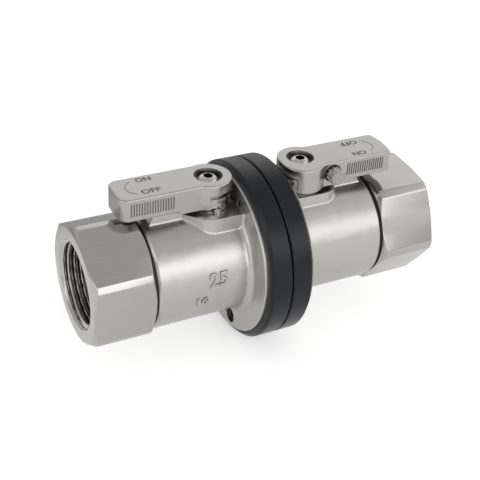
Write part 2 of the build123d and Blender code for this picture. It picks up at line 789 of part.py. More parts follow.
# Interlock discs: stop flange below, cam in the middle, plate on top. The plate and the cam fill the
# window in the handle's skirt. The cam's radius falls evenly as the handle closes.
for half, side in halves.items():
    skirted_radius = hub_radius - skirt_wall - 2 * seated_gap
    lobe_start = skirt_open_from + lobe_margin
    lobe_end = skirt_open_to - lobe_margin
    pin_half_angle = degrees(asin(stop_pin_diameter / 2 / stop_pin_radius)) + stop_margin
    cam_swings = [cam_overrun * (step - 1) for step in range(round(handle_swing / cam_overrun) + 3)]
    high_angle = 180 + degrees(atan2(pin_across, pin_tail_centre)) + cam_overrun
    low_angle = degrees(atan2(cam_point(cam_swings[-1])[1], cam_point(cam_swings[-1])[0]))
    with BuildPart() as interlock_disc:
        with BuildSketch(plan_plane(side, disc_bottom)):
            Circle(stop_flange_diameter / 2)
            gap_start = stop_pin_place - handle_swing - pin_half_angle
            gap_end = stop_pin_place + pin_half_angle
            add(sector(cam_core_radius, disc_diameter, gap_start, gap_end), mode=Mode.SUBTRACT)
        extrude(amount=stop_flange_height)
        with BuildSketch(plan_plane(side, cam_bottom)):
            with BuildLine():
                Spline(*[cam_point(swing) for swing in cam_swings])
                Line(cam_point(cam_swings[-1]), polar(skirted_radius, low_angle))
                ThreePointArc(
                    polar(skirted_radius, low_angle),
                    polar(skirted_radius, (low_angle + lobe_end - 360) / 2),
                    polar(skirted_radius, lobe_end),
                )
                Line(polar(skirted_radius, lobe_end), polar(disc_diameter / 2, lobe_end))
                ThreePointArc(
                    polar(disc_diameter / 2, lobe_end),
                    polar(disc_diameter / 2, (lobe_end + high_angle) / 2),
                    cam_point(cam_swings[0]),
                )
            make_face()
        extrude(amount=cam_height)
        with BuildSketch(plan_plane(side, disc_plate_bottom)):
            Circle(skirted_radius)
            add(sector(cam_core_radius, disc_diameter / 2, lobe_start, lobe_end))
        extrude(amount=disc_plate_height)
        with BuildSketch(plan_plane(side, disc_bottom)):
            add(square_shank(running_clearance))
        extrude(amount=disc_top - disc_bottom, mode=Mode.SUBTRACT)
    interlock_disc.part.label = f"{half}_interlock_disc"
    export_step(interlock_disc.part, f"parts/{half}_interlock_disc.step")


# Stop pins: pressed into the boss, each stands in the gap of its disc's stop flange.
for half, side in halves.items():
    with BuildPart() as stop_pin:
        with BuildSketch(plan_plane(side, boss_height - stop_pin_depth)):
            with Locations(polar(stop_pin_radius, stop_pin_place)):
                Circle(stop_pin_diameter / 2)
        extrude(amount=stop_pin_depth + cam_bottom - free_clearance - boss_height)
        chamfer(stop_pin.edges().group_by(Axis.Z)[-1], stop_pin_chamfer)
    stop_pin.part.label = f"{half}_stop_pin"
    export_step(stop_pin.part, f"parts/{half}_stop_pin.step")


# Interlock pins: through the flange to the cam, with a round tail and a collar for the spring.
for half, side in halves.items():
    pin_tip = joint_gap + pin_tip_setback
    collar_place = flange_front + pin_collar_rest
    with BuildPart() as interlock_pin:
        with BuildSketch(cross_plane(side, pin_tip)):
            with Locations((-pin_across, pin_height)):
                Circle(pin_diameter / 2)
        extrude(amount=stem_distance - pin_tail_centre - pin_tip)
        with Locations((side * (stem_distance - pin_tail_centre), -side * pin_across, pin_height)):
            Sphere(pin_diameter / 2)
        with BuildSketch(cross_plane(side, collar_place)):
            with Locations((-pin_across, pin_height)):
                Circle(pin_collar_diameter / 2)
        extrude(amount=pin_collar_width)
    interlock_pin.part.label = f"{half}_interlock_pin"
    export_step(interlock_pin.part, f"parts/{half}_interlock_pin.step")

    pin_spring_seat = Plane(
        origin=(side * flange_front, -side * pin_across, pin_height), x_dir=(0, 1, 0), z_dir=(side, 0, 0)
    )
    pin_spring_radius = (pin_diameter + pin_collar_diameter) / 4
    pin_spring = coil_spring(
        pin_spring_seat, pin_spring_radius, pin_collar_rest, pin_spring_wire, pin_spring_turns
    )
    pin_spring.label = f"{half}_pin_spring"
    export_step(pin_spring, f"parts/{half}_pin_spring.step")


# Handles: cast levers. The hub is a plate with a skirt below, open towards the flange so that the
# interlock pin reaches the disc in every position. The grip's root is as deep as the skirt. The right
# handle carries the lock button, and its hub has a lobe on that side.
for half, side in halves.items():
    skirt_radius = hub_radius - skirt_wall
    grip_width = grip_side_plain + grip_side_button
    grip_centre = (grip_side_plain - grip_side_button) / 2
    with BuildPart() as handle:
        with BuildSketch(plan_plane(side, cam_bottom)) as outline:
            with BuildLine():
                near, far = (grip_reach, -grip_side_button), (grip_reach, grip_side_plain)
                Polyline(far, (0, grip_side_plain), (0, -grip_side_button), near)
                ThreePointArc(near, (grip_reach + grip_bow[half], grip_centre), far)
            make_face()
            fillet(outline.vertices().sort_by(Axis.X)[-2:], grip_corner[half])
            Circle(hub_radius)
            if half == "right":
                with Locations(latch_boss_shift):
                    Circle(latch_boss_radius)
            fillet(outline.vertices().filter_by_position(Axis.X, hub_radius / 2, hub_radius), hub_blend)
        extrude(amount=handle_top - cam_bottom)
        fillet(handle.edges().group_by(Axis.Z)[-1], grip_edge)
        with BuildSketch(plan_plane(side, grip_bottom)):
            with Locations((grip_root + grip_reach / 2, grip_centre)):
                Rectangle(grip_reach, grip_width)
        extrude(amount=cam_bottom - grip_bottom, mode=Mode.SUBTRACT)

        # Hollow of the hub, its window towards the flange, and the inner boss that sits on the disc
        with BuildSketch(plan_plane(side, cam_bottom)):
            Circle(skirt_radius)
            add(sector(cam_core_radius, 2 * hub_radius, skirt_open_from, skirt_open_to))
        extrude(amount=plate_bottom - cam_bottom, mode=Mode.SUBTRACT)
        with BuildSketch(plan_plane(side, disc_top)):
            Circle(hub_boss_diameter / 2)
        extrude(amount=plate_bottom - disc_top)

        # Recess and hole for the screw, and the square for the stem
        with BuildSketch(plan_plane(side, recess_floor)):
            Circle(screw_recess_diameter / 2)
        extrude(amount=screw_recess_depth, mode=Mode.SUBTRACT)
        with BuildSketch(plan_plane(side, disc_top)):
            Circle(screw_diameter / 2 + screw_hole_gap)
        extrude(amount=recess_floor - disc_top, mode=Mode.SUBTRACT)
        with BuildSketch(plan_plane(side, disc_top)):
            add(square_shank(running_clearance))
        extrude(amount=stem_top + seated_gap - disc_top, mode=Mode.SUBTRACT)

        # Ribs on both long sides, and the pocket under the grip
        rib_bottom = (grip_bottom + handle_top - rib_height) / 2
        with BuildSketch(plan_plane(side, rib_bottom)):
            for edge in (grip_side_plain, -grip_side_button):
                with Locations((rib_start + (rib_count - 1) * rib_pitch / 2, edge)):
                    with GridLocations(rib_pitch, rib_pitch, rib_count, 1):
                        Rectangle(rib_width, 2 * rib_depth)
        extrude(amount=rib_height, mode=Mode.SUBTRACT)
        with BuildSketch(plan_plane(side, grip_bottom)):
            with Locations((grip_reach - grip_wall - grip_pocket_length / 2, grip_centre)):
                RectangleRounded(grip_pocket_length, grip_width - 2 * grip_wall, grip_wall / 2)
        extrude(amount=grip_pocket_depth, mode=Mode.SUBTRACT)

        if half == "right":
            with BuildSketch(stem_section_plane(side, -button_floor)):
                with Locations((button_place, button_level)):
                    Circle(button_hole_diameter / 2)
            extrude(amount=button_face, mode=Mode.SUBTRACT)
            with BuildSketch(stem_section_plane(side, -button_floor)):
                with Locations((button_place, button_level)):
                    Circle(button_stem_diameter / 2 + running_clearance)
            extrude(amount=-button_guide_depth, mode=Mode.SUBTRACT)
            with BuildSketch(plan_plane(side, grip_bottom)):
                with Locations((retaining_pin_place, retaining_pin_across)):
                    Circle(retaining_pin_diameter / 2 + seated_gap)
            extrude(amount=retaining_pin_length + free_clearance, mode=Mode.SUBTRACT)
    handle.part.label = f"{half}_handle"
    export_step(handle.part, f"parts/{half}_handle.step")


# Handle screws: button heads with a hexagon socket, each on a washer in the recess of its hub.
for half, side in halves.items():
    head_seat = recess_floor + screw_washer_height
    head_radius = screw_head_diameter / 2
    with BuildPart() as handle_screw:
        with BuildSketch(stem_section_plane(side, 0)):
            with BuildLine():
                rim = (head_radius, head_seat + screw_head_rim)
                shoulder = (screw_head_shoulder[0], head_seat + screw_head_shoulder[1])
                crown = (screw_head_flat, head_seat + screw_head_height)
                Polyline(
                    (0, head_seat + screw_head_height),
                    (0, screw_end),
                    (screw_diameter / 2, screw_end),
                    (screw_diameter / 2, head_seat),
                    (head_radius, head_seat),
                    rim,
                )
                ThreePointArc(rim, shoulder, crown)
                Line(crown, (0, head_seat + screw_head_height))
            make_face()
        revolve(axis=stem_axis(side))
        with BuildSketch(plan_plane(side, head_seat + screw_head_height)):
            RegularPolygon(screw_socket / 2, 6, major_radius=False)
        extrude(amount=-screw_socket_depth, mode=Mode.SUBTRACT)
    handle_screw.part.label = f"{half}_handle_screw"
    export_step(handle_screw.part, f"parts/{half}_handle_screw.step")

    with BuildPart() as screw_washer:
        with BuildSketch(plan_plane(side, recess_floor)):
            Circle(screw_washer_diameter / 2)
            Circle(screw_diameter / 2 + screw_hole_gap, mode=Mode.SUBTRACT)
        extrude(amount=screw_washer_height)
    screw_washer.part.label = f"{half}_screw_washer"
    export_step(screw_washer.part, f"parts/{half}_screw_washer.step")


# Lock button: fluted head and a guided stem with a flat, held in by a cross pin, on a spring.
side = halves["right"]
with BuildPart() as lock_button:
    with BuildSketch(stem_section_plane(side, -button_head_inner)):
        with Locations((button_place, button_level)):
            Circle(button_diameter / 2)
            with PolarLocations(button_diameter / 2 + button_flute_depth, button_flutes):
                Circle(2 * button_flute_depth, mode=Mode.SUBTRACT)
    extrude(amount=button_face - button_head_inner)
    with BuildSketch(stem_section_plane(side, -button_head_inner)):
        with Locations((button_place, button_level)):
            Circle(button_stem_diameter / 2)
    extrude(amount=-button_stem_length)
    flat_start = retaining_pin_across - retaining_pin_diameter / 2 - running_clearance - button_travel
    with BuildSketch(stem_section_plane(side, flat_start)):
        with Locations((button_place + button_stem_diameter - retaining_flat_depth, button_level)):
            Rectangle(button_stem_diameter, button_stem_diameter)
    extrude(amount=-button_travel - retaining_pin_diameter - 2 * running_clearance, mode=Mode.SUBTRACT)
    chamfer(lock_button.faces().sort_by(Axis.Y)[0].outer_wire().edges(), button_edge)
lock_button.part.label = "lock_button"
export_step(lock_button.part, "parts/lock_button.step")

button_spring_seat = Plane(
    origin=(stem_distance + button_place, -button_floor, button_level), x_dir=(1, 0, 0), z_dir=(0, -1, 0)
)
button_spring_radius = (button_diameter + button_stem_diameter) / 4
button_spring = coil_spring(
    button_spring_seat, button_spring_radius, button_spring_room, button_spring_wire, button_spring_turns
)
button_spring.label = "button_spring"
export_step(button_spring, "parts/button_spring.step")

with BuildPart() as button_retaining_pin:
    with BuildSketch(plan_plane(side, grip_bottom + free_clearance)):
        with Locations((retaining_pin_place, retaining_pin_across)):
            Circle(retaining_pin_diameter / 2)
    extrude(amount=retaining_pin_length - free_clearance)
button_retaining_pin.part.label = "button_retaining_pin"
export_step(button_retaining_pin.part, "parts/button_retaining_pin.step")
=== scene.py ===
import math
import bmesh
import bpy
import numpy as np
from mathutils import Matrix, Vector


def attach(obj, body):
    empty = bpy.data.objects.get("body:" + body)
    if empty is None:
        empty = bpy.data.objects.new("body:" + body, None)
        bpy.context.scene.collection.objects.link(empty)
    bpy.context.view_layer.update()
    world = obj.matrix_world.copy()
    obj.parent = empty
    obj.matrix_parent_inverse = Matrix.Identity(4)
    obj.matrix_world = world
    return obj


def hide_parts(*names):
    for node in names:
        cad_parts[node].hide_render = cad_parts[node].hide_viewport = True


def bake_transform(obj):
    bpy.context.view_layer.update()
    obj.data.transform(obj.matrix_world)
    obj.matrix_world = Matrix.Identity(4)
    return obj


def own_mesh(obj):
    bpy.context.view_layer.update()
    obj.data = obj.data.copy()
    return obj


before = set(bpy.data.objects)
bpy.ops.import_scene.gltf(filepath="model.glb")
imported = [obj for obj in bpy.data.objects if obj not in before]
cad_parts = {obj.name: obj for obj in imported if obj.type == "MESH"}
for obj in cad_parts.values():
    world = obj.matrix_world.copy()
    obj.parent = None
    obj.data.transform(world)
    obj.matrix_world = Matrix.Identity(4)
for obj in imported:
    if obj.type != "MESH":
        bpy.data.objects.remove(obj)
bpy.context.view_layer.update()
mm = 0.001

# Viewpoint: the photograph was taken from the front left and above, about 37 cm away, with a long
# lens and a slight tilt to the right. These angles were fitted to the circles of the rings and ports.
view_azimuth = math.radians(29.2645)
view_elevation = math.radians(33.070)
view_roll = math.radians(4.10)
view_target = Vector((-4.154, 0.0, 3.055)) * mm
view_distance = 373.99 * mm
photo_width_pixels, focal_length_pixels = 480, 966.6
forward = Vector((
    math.sin(view_azimuth) * math.cos(view_elevation),
    math.cos(view_azimuth) * math.cos(view_elevation),
    -math.sin(view_elevation),
))
level = Vector((math.cos(view_azimuth), -math.sin(view_azimuth), 0.0))
upright = level.cross(forward)
camera_right = math.cos(view_roll) * level + math.sin(view_roll) * upright
camera_up = -math.sin(view_roll) * level + math.cos(view_roll) * upright
pose = Matrix((camera_right, camera_up, -forward)).transposed().to_4x4()
pose.translation = view_target - forward * view_distance
camera = bpy.data.objects.new("camera", bpy.data.cameras.new("camera"))
camera.data.sensor_width = 36.0
camera.data.lens = focal_length_pixels / photo_width_pixels * camera.data.sensor_width
camera.data.clip_start = 0.01
camera.matrix_world = pose
bpy.context.scene.collection.objects.link(camera)
bpy.context.scene.camera = camera
bpy.context.scene.view_settings.view_transform = "Standard"


def linear(hex_colour):
    """sRGB hex value to the linear colour that a node takes."""
    parts = np.array([int(hex_colour[place:place + 2], 16) for place in (1, 3, 5)]) / 255
    return (*np.where(parts <= 0.04045, parts / 12.92, ((parts + 0.055) / 1.055) ** 2.4), 1.0)


def add_node(tree, kind, inputs={}, links={}, **settings):
    """Adds one node, with its settings, its socket values and the links into it."""
    node = tree.nodes.new(kind)
    for name, value in settings.items():
        setattr(node, name, value)
    for socket, value in inputs.items():
        node.inputs[socket].default_value = value
    for socket, source in links.items():
        tree.links.new(source, node.inputs[socket])
    return node


# Cove: white walls round the table, lit by large softboxes. Each softbox is a patch of the cove with
# feathered edges, which the polished steel reflects. The camera sees the cove as plain white.
cove_low, cove_high = 0.62, 0.55
# Each softbox: azimuth to the right of the front, elevation, half width, half height and feather in
# degrees, and the light that it adds in its middle
softboxes = {
    "front": (-2, 19, 24, 17, 8, 1.3),
    "front right": (40, 25, 18, 15, 8, 1.0),
    "back": (150, 30, 40, 18, 10, 0.42),
    "high right": (72, 50, 16, 9, 8, 0.25),
    "left": (-80, 14, 14, 18, 8, 0.9),
    "right": (78, 20, 12, 20, 8, 0.8),
}
cove = bpy.data.worlds.new("white cove")
bpy.context.scene.world = cove
cove.use_nodes = True
tree = cove.node_tree
tree.nodes.clear()
way = add_node(tree, "ShaderNodeTexCoord").outputs["Generated"]
height = add_node(tree, "ShaderNodeSeparateXYZ", links={0: way}).outputs["Z"]
light = add_node(tree, "ShaderNodeMapRange", {
    "From Min": 0.1, "From Max": 0.8, "To Min": cove_low, "To Max": cove_high,
}, {0: height}).outputs[0]
for azimuth, elevation, half_width, half_height, feather, added in softboxes.values():
    turn, lift = math.radians(azimuth), math.radians(elevation)
    toward = (math.sin(turn) * math.cos(lift), -math.cos(turn) * math.cos(lift), math.sin(lift))
    sideways = (math.cos(turn), math.sin(turn), 0.0)
    above = (-math.sin(turn) * math.sin(lift), math.cos(turn) * math.sin(lift), math.cos(lift))
    facing = add_node(tree, "ShaderNodeVectorMath", {1: toward}, {0: way}, operation="DOT_PRODUCT")
    patch = add_node(tree, "ShaderNodeMath", {1: added}, {0: facing.outputs["Value"]}, operation="MULTIPLY")
    patch = add_node(tree, "ShaderNodeMath", {1: 0.0}, {0: patch.outputs[0]}, operation="MAXIMUM").outputs[0]
    for axis, half_angle in ((sideways, half_width), (above, half_height)):
        offset = add_node(tree, "ShaderNodeVectorMath", {1: axis}, {0: way}, operation="DOT_PRODUCT")
        offset = add_node(tree, "ShaderNodeMath", links={0: offset.outputs["Value"]}, operation="ABSOLUTE")
        edge = add_node(tree, "ShaderNodeMapRange", {
            "From Min": math.sin(math.radians(half_angle + feather)),
            "From Max": math.sin(math.radians(half_angle - feather)),
        }, {0: offset.outputs[0]}, interpolation_type="SMOOTHSTEP").outputs[0]
        patch = add_node(tree, "ShaderNodeMath", links={0: patch, 1: edge}, operation="MULTIPLY").outputs[0]
    light = add_node(tree, "ShaderNodeMath", links={0: light, 1: patch}, operation="ADD").outputs[0]
lit = add_node(tree, "ShaderNodeBackground", {"Strength": 1.0}, {0: light})
seen = add_node(tree, "ShaderNodeBackground", {"Color": (1, 1, 1, 1), "Strength": 1.0})
mixed = add_node(tree, "ShaderNodeMixShader", links={
    0: add_node(tree, "ShaderNodeLightPath").outputs["Is Camera Ray"], 1: lit.outputs[0], 2: seen.outputs[0],
})
add_node(tree, "ShaderNodeOutputWorld", links={0: mixed.outputs[0]})

# Table: a sheet of matt white paper that takes the coupling's shadow and glows a little, so that it
# fades into the cove. Behind the coupling it turns card grey, which the camera sees only in reflections.
table_reach, table_height = 3.0, -35.1 * mm
grey_start, grey_end = 60 * mm, 130 * mm
glow_seen, glow_reflected = 0.45, 0.24
paper_white, card_grey = linear("#F4F4F4"), linear("#BEBEBE")
table_mesh = bpy.data.meshes.new("table")
quarters = ((-1, -1), (1, -1), (1, 1), (-1, 1))
table_corners = [(x * table_reach, y * table_reach, table_height) for x, y in quarters]
table_mesh.from_pydata(table_corners, [], [(0, 1, 2, 3)])
table = bpy.data.objects.new("table", table_mesh)
bpy.context.scene.collection.objects.link(table)
paper = bpy.data.materials.new("white paper")
paper.use_nodes = True
tree = paper.node_tree
tree.nodes.clear()
seen = add_node(tree, "ShaderNodeLightPath").outputs["Is Camera Ray"]
place = add_node(tree, "ShaderNodeNewGeometry").outputs["Position"]
place = add_node(tree, "ShaderNodeSeparateXYZ", links={0: place}).outputs["Y"]
behind = add_node(tree, "ShaderNodeMapRange", {
    "From Min": grey_start, "From Max": grey_end,
}, {0: place}).outputs[0]
card = add_node(tree, "ShaderNodeMix", data_type="RGBA", inputs={
    6: paper_white, 7: card_grey,
}, links={0: behind}).outputs[2]
shade = add_node(tree, "ShaderNodeMix", {7: paper_white}, {0: seen, 6: card}, data_type="RGBA").outputs[2]
matt = add_node(tree, "ShaderNodeBsdfDiffuse", {"Roughness": 0.5}, {"Color": shade})
glow = add_node(tree, "ShaderNodeMapRange", {"To Min": glow_reflected, "To Max": 0.0}, {0: behind}).outputs[0]
glow = add_node(tree, "ShaderNodeMix", {"B": glow_seen}, {0: seen, "A": glow}).outputs[0]
glow = add_node(tree, "ShaderNodeEmission", {"Color": (1, 1, 1, 1)}, {"Strength": glow})
both = add_node(tree, "ShaderNodeAddShader", links={0: matt.outputs[0], 1: glow.outputs[0]})
add_node(tree, "ShaderNodeOutputMaterial", links={0: both.outputs[0]})
table_mesh.materials.append(paper)


def new_material(name):
    """Empty material, its node tree, the output's shader and the object's own coordinates."""
    material = bpy.data.materials.new(name)
    material.use_nodes = True
    tree = material.node_tree
    tree.nodes.clear()
    shader = add_node(tree, "ShaderNodeBsdfPrincipled")
    add_node(tree, "ShaderNodeOutputMaterial", links={0: shader.outputs[0]})
    return material, tree, shader, add_node(tree, "ShaderNodeTexCoord").outputs["Object"]


def finished_copy(node, material, body=None):
    """Welded copy of a CAD node, smooth across its curved faces and sharp past 35 degrees, that stands
    for the node and rides on a body, if one is given."""
    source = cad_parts[node].data
    corners = [vertex.co for vertex in source.vertices]
    mesh = bpy.data.meshes.new(f"{node}_mesh")
    mesh.from_pydata(corners, [], [face.vertices[:] for face in source.polygons])
    welded = bmesh.new()
    welded.from_mesh(mesh)
    bmesh.ops.remove_doubles(welded, verts=welded.verts, dist=1e-6)
    welded.to_mesh(mesh)
    welded.free()
    mesh.shade_smooth()
    mesh.set_sharp_from_angle(angle=math.radians(35))
    mesh.materials.append(material)
    piece = bpy.data.objects.new(f"{node}_piece", mesh)
    bpy.context.scene.collection.objects.link(piece)
    if body:
        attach(piece, body)
    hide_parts(node)
    return piece


def finish_both(bodies, material):
    """Finished copies of pieces that each half has, given with the body of that half that carries them."""
    for half in ("left", "right"):
        for node, body in bodies.items():
            finished_copy(f"{half}_{node}", material, f"{half}_{body}")


# Valve bodies: lost-wax castings in 304 stainless with barrel, flange, stem boss and rail in one.
# They are bead-blasted and then polished to a satin, so the skin is soft and slightly uneven, with
# grains of about a quarter of a millimetre and faint waves left from the wax.
cast_stainless, tree, shader, spot = new_material("satin cast 304 stainless")
grain = add_node(tree, "ShaderNodeTexNoise", {"Scale": 1 / (0.28 * mm), "Detail": 2.0}, {"Vector": spot})
waves = add_node(tree, "ShaderNodeTexNoise", {"Scale": 1 / (7 * mm), "Detail": 1.5}, {"Vector": spot})
tint = add_node(tree, "ShaderNodeMix", data_type="RGBA", inputs={
    6: linear("#BFBEBB"), 7: linear("#C7C6C3"),
}, links={0: waves.outputs[0]})
gloss = add_node(tree, "ShaderNodeMapRange", {"To Min": 0.26, "To Max": 0.34}, {0: grain.outputs[0]})
rounded = add_node(tree, "ShaderNodeBevel", {"Radius": 0.3 * mm}, samples=4)
swell = add_node(tree, "ShaderNodeBump", {"Strength": 1.0, "Distance": 0.18 * mm}, {
    "Height": waves.outputs[0], "Normal": rounded.outputs[0],
})
skin = add_node(tree, "ShaderNodeBump", {"Strength": 0.12, "Distance": 0.02 * mm}, {
    "Height": grain.outputs[0], "Normal": swell.outputs[0],
})
shader.inputs["Metallic"].default_value = 1.0
tree.links.new(tint.outputs[2], shader.inputs["Base Color"])
tree.links.new(gloss.outputs[0], shader.inputs["Roughness"])
tree.links.new(skin.outputs[0], shader.inputs["Normal"])
finish_both({"valve_body": "half"}, cast_stainless)


def solid_word(word, width, height, low, high, thickening):
    """Points in millimetres and faces of a word's solid letters, centred in a width and height and
    reaching from low to high, with walls that slope in from the middle, as cast letters have. They are
    cut across every half millimetre so that they can be bent. The thickening of the strokes and the
    slope of the walls are in the font's own unit, its line height."""
    straight_wall, sloped_wall, curve_steps, cut_step = 0.015, 0.035, 6, 0.5
    curve = bpy.data.curves.new(word, "FONT")
    curve.body = word
    curve.extrude, curve.bevel_depth, curve.bevel_resolution = straight_wall, sloped_wall, 0
    curve.offset, curve.resolution_u = thickening, curve_steps
    writing = bpy.data.objects.new(word, curve)
    bpy.context.scene.collection.objects.link(writing)
    bpy.context.view_layer.update()
    mesh = bpy.data.meshes.new_from_object(writing.evaluated_get(bpy.context.evaluated_depsgraph_get()))
    bpy.data.objects.remove(writing)
    points = np.array([vertex.co for vertex in mesh.vertices])
    least, most = points.min(axis=0), points.max(axis=0)
    points = (points - (least + most) / 2) / (most - least) * (width, height, high - low)
    points += (0, 0, (low + high) / 2)
    mesh.vertices.foreach_set("co", points.ravel())
    letters = bmesh.new()
    letters.from_mesh(mesh)
    bmesh.ops.remove_doubles(letters, verts=letters.verts, dist=1e-4)
    for cut in np.arange(-height / 2 + cut_step, height / 2, cut_step):
        everything = letters.verts[:] + letters.edges[:] + letters.faces[:]
        bmesh.ops.bisect_plane(letters, geom=everything, plane_co=(0, cut, 0), plane_no=(0, 1, 0))
    letters.verts.index_update()
    points = np.array([vertex.co for vertex in letters.verts])
    faces = [[vertex.index for vertex in face.verts] for face in letters.faces]
    letters.free()
    return points, faces


def is_wall(points, face):
    """True for a letter's face that goes up or down, and not for its level top or floor."""
    return np.ptp(points[face, 2]) > 0.1


# Size digits: cast in low relief on the front of the left barrel, bent round it, the large pair for
# the nominal bore and the small pair for the pressure class. The walls of the strokes are duller, as
# cast, and darker, where the darker colour is painted shade that outlines the strokes.
relief_stainless = cast_stainless.copy()
relief_stainless.name = "304 stainless cast in relief"
relief_stainless.node_tree.nodes[rounded.name].inputs["Radius"].default_value = 0.1 * mm
# Walls of the digits and marks: duller as cast, and darker, the darker colour being painted shade
cast_walls_painted_shade, tree, shader, spot = new_material("304 stainless left as cast, darkened as painted shade")
pits = add_node(tree, "ShaderNodeTexNoise", {"Scale": 1 / (0.15 * mm), "Detail": 2.0}, {"Vector": spot})
gloss = add_node(tree, "ShaderNodeMapRange", {"To Min": 0.35, "To Max": 0.5}, {0: pits.outputs[0]})
shader.inputs["Metallic"].default_value = 1.0
shader.inputs["Base Color"].default_value = linear("#9A9996")
tree.links.new(gloss.outputs[0], shader.inputs["Roughness"])
barrel_radius = 22.2
digit_root, digit_top, digit_thickening = -0.55, 0.5, 0.01
# Each pair: its middle along the flow axis, width and height, and its angle above the barrel's front
digits = {"25": (-23.9, 7.6, 6.0, 11.0), "16": (-30.2, 4.8, 3.6, -9.5)}
for word, (middle, width, height, angle) in digits.items():
    points, faces = solid_word(word, width, height, digit_root, digit_top, digit_thickening)
    turn = math.radians(angle) + points[:, 1] / barrel_radius
    out = barrel_radius + points[:, 2]
    bent = np.stack([middle + points[:, 0], -out * np.cos(turn), out * np.sin(turn)], axis=-1)
    mesh = bpy.data.meshes.new(f"digits_{word}")
    mesh.from_pydata(bent * mm, [], faces)
    mesh.materials.append(relief_stainless)
    mesh.materials.append(cast_walls_painted_shade)
    # The digits' walls take the darker finish: painted shade
    mesh.polygons.foreach_set("material_index", [int(is_wall(points, face)) for face in faces])
    piece = bpy.data.objects.new(f"digits_{word}", mesh)
    bpy.context.scene.collection.objects.link(piece)
    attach(piece, "left_half")

# Clamp rings: turned from black acetal bar, smooth with a soft gloss and very fine turning lines. The
# dark line between them is the half millimetre that lets one ring turn against the other.
black_acetal, tree, shader, spot = new_material("turned black acetal")
straight = add_node(tree, "ShaderNodeMapping", {
    "Scale": (1 / (0.25 * mm), 1 / (250 * mm), 1 / (250 * mm)),
}, {"Vector": spot})
lines = add_node(tree, "ShaderNodeTexNoise", {"Scale": 1.0, "Detail": 2.0}, {"Vector": straight.outputs[0]})
gloss = add_node(tree, "ShaderNodeMapRange", {"To Min": 0.20, "To Max": 0.28}, {0: lines.outputs[0]})
tint = add_node(tree, "ShaderNodeMix", data_type="RGBA", inputs={
    6: linear("#0B0D11"), 7: linear("#101218"),
}, links={0: lines.outputs[0]})
rounded = add_node(tree, "ShaderNodeBevel", {"Radius": 0.25 * mm}, samples=4)
skin = add_node(tree, "ShaderNodeBump", {"Strength": 0.08, "Distance": 0.01 * mm}, {
    "Height": lines.outputs[0], "Normal": rounded.outputs[0],
})
shader.inputs["Specular IOR Level"].default_value = 0.35
tree.links.new(tint.outputs[2], shader.inputs["Base Color"])
tree.links.new(gloss.outputs[0], shader.inputs["Roughness"])
tree.links.new(skin.outputs[0], shader.inputs["Normal"])
finish_both({"clamp_ring": "half"}, black_acetal)

# End connectors: 43.5 mm hexagon bar in 304 stainless, milled on the flats, turned at both ends and
# tapped G 1. The corners are turned down to 48.6 mm, which leaves a narrow bright land on each. The
# left one's mouth has the usual 30 degree chamfer, and the right one's corners are only just broken.
milled_stainless, tree, shader, spot = new_material("milled 304 stainless bar")
stretched = add_node(tree, "ShaderNodeMapping", {
    "Scale": (1 / (9 * mm), 1 / (0.3 * mm), 1 / (0.3 * mm)),
}, {"Vector": spot})
cuts = add_node(tree, "ShaderNodeTexNoise", {"Scale": 1.0, "Detail": 3.0}, {"Vector": stretched.outputs[0]})
tint = add_node(tree, "ShaderNodeMix", data_type="RGBA", inputs={
    6: linear("#B8B7B4"), 7: linear("#C1C0BD"),
}, links={0: cuts.outputs[0]})
gloss = add_node(tree, "ShaderNodeMapRange", {"To Min": 0.10, "To Max": 0.16}, {0: cuts.outputs[0]})
rounded = add_node(tree, "ShaderNodeBevel", {"Radius": 0.2 * mm}, samples=4)
skin = add_node(tree, "ShaderNodeBump", {"Strength": 0.06, "Distance": 0.01 * mm}, {
    "Height": cuts.outputs[0], "Normal": rounded.outputs[0],
})
shader.inputs["Metallic"].default_value = 1.0
tree.links.new(tint.outputs[2], shader.inputs["Base Color"])
tree.links.new(gloss.outputs[0], shader.inputs["Roughness"])
tree.links.new(skin.outputs[0], shader.inputs["Normal"])


def soften(profile, reach, steps=3):
    """Closed profiles (..., corner, 2): each corner becomes a short parabola between two points that
    lie `reach` before and after it, or 0.4 of the side where that is shorter."""
    before = np.roll(profile, 1, axis=-2) - profile
    after = np.roll(profile, -1, axis=-2) - profile
    shorten = [np.minimum(reach, 0.4 * np.linalg.norm(side, axis=-1))[..., None] for side in (before, after)]
    before = before / np.maximum(np.linalg.norm(before, axis=-1), 1e-9)[..., None] * shorten[0]
    after = after / np.maximum(np.linalg.norm(after, axis=-1), 1e-9)[..., None] * shorten[1]
    step = np.linspace(0, 1, steps + 1)[:, None]
    curve = profile[..., None, :] + before[..., None, :] * (1 - step) ** 2 + after[..., None, :] * step ** 2
    return curve.reshape(*profile.shape[:-2], -1, 2)


def closed_sheet(name, grid, material):
    """Mesh of a grid of points in millimetres (rows, columns, 3) that closes on itself both ways, with
    its faces turned outwards and sharp past 40 degrees."""
    index = np.arange(grid.shape[0] * grid.shape[1]).reshape(grid.shape[:2])
    shifts = ((0, 0), (1, 0), (1, 1), (0, 1))
    corner = [np.roll(index, (-row, -column), axis=(0, 1)) for row, column in shifts]
    mesh = bpy.data.meshes.new(name)
    mesh.from_pydata(grid.reshape(-1, 3) * mm, [], np.stack(corner, axis=-1).reshape(-1, 4).tolist())
    shell = bmesh.new()
    shell.from_mesh(mesh)
    bmesh.ops.remove_doubles(shell, verts=shell.verts, dist=1e-7)
    bmesh.ops.recalc_face_normals(shell, faces=shell.faces)
    shell.to_mesh(mesh)
    shell.free()
    mesh.shade_smooth()
    mesh.set_sharp_from_angle(angle=math.radians(40))
    mesh.materials.append(material)
    piece = bpy.data.objects.new(name, mesh)
    bpy.context.scene.collection.objects.link(piece)
    return piece


